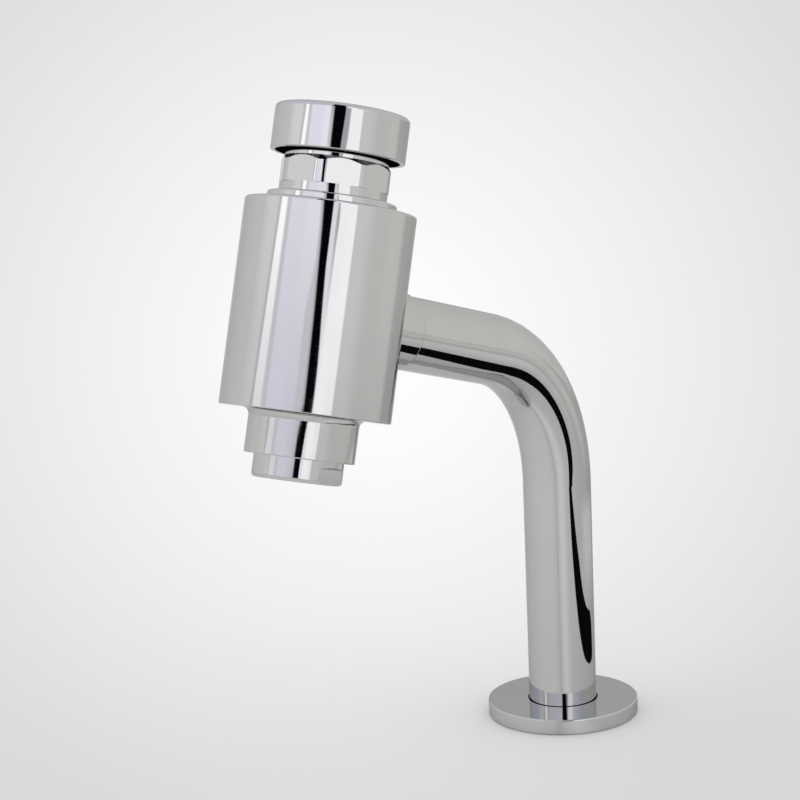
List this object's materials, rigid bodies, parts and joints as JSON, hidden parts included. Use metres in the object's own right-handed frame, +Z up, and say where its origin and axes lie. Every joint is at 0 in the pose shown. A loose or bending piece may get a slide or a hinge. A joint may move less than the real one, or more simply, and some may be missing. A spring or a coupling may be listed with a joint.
{
  "type": "push timed tap",
  "caption": "Deck-mounted chrome push timed tap: a bent spout tube carries a cylindrical valve head with a push button on top and an aerator below.",
  "frame": {"origin": "centre of the deck flange's underside, where the column's axis meets the deck", "axes": "+Z up along the column, away from the deck; -Y towards the outlet, along the spout; +X to the right of someone looking along +Y, from the outlet to the column"},
  "size_m": [0.0566, 0.2003, 0.2942],
  "materials": {
    "polished_chrome": "mirror polished chrome plate",
    "brass": "machined brass",
    "stainless_steel": "bright drawn stainless steel",
    "black_rubber": "matt moulded rubber",
    "black_plastic": "matt moulded acetal",
    "pale_plastic": "matt moulded acetal"
  },
  "bodies": {
    "tap_body": {"head_nut": "polished_chrome", "valve_body": "polished_chrome", "aerator_shell": "polished_chrome", "spout_tube": "polished_chrome", "deck_flange": "polished_chrome", "cartridge_sleeve": "brass", "cartridge_cap": "brass", "guide_bush": "brass", "valve_seat": "brass", "arm_ferrule": "brass", "inlet_shank": "brass", "back_nut": "brass", "return_spring": "stainless_steel", "bleed_pin": "stainless_steel", "inlet_strainer": "stainless_steel", "aerator_mesh": "stainless_steel", "deck_washer": "stainless_steel", "stem_o_ring": "black_rubber", "cap_o_ring": "black_rubber", "sleeve_o_ring": "black_rubber", "seat_gasket": "black_rubber", "arm_seal": "black_rubber", "flange_gasket": "black_rubber", "deck_gasket": "black_rubber", "aerator_gasket": "black_rubber", "stem_guide": "black_plastic", "flow_restrictor": "black_plastic", "aerator_insert": "pale_plastic"},
    "push_assembly": {"push_button": "polished_chrome", "button_lock_nut": "stainless_steel", "stem": "stainless_steel", "piston": "black_plastic", "piston_cup_seal": "black_rubber", "piston_clip": "stainless_steel", "valve_seal": "black_rubber", "seal_holder": "brass", "seal_nut": "stainless_steel"}
  },
  "joints": [
    {"name": "button_slide", "type": "slide", "parent": "tap_body", "child": "push_assembly", "axis": [0, -0.274, -0.9617], "range_m": [0, 0.006], "stiffness_N_per_m": 1300, "springref_m": -0.01, "deforming": ["return_spring"]}
  ]
}
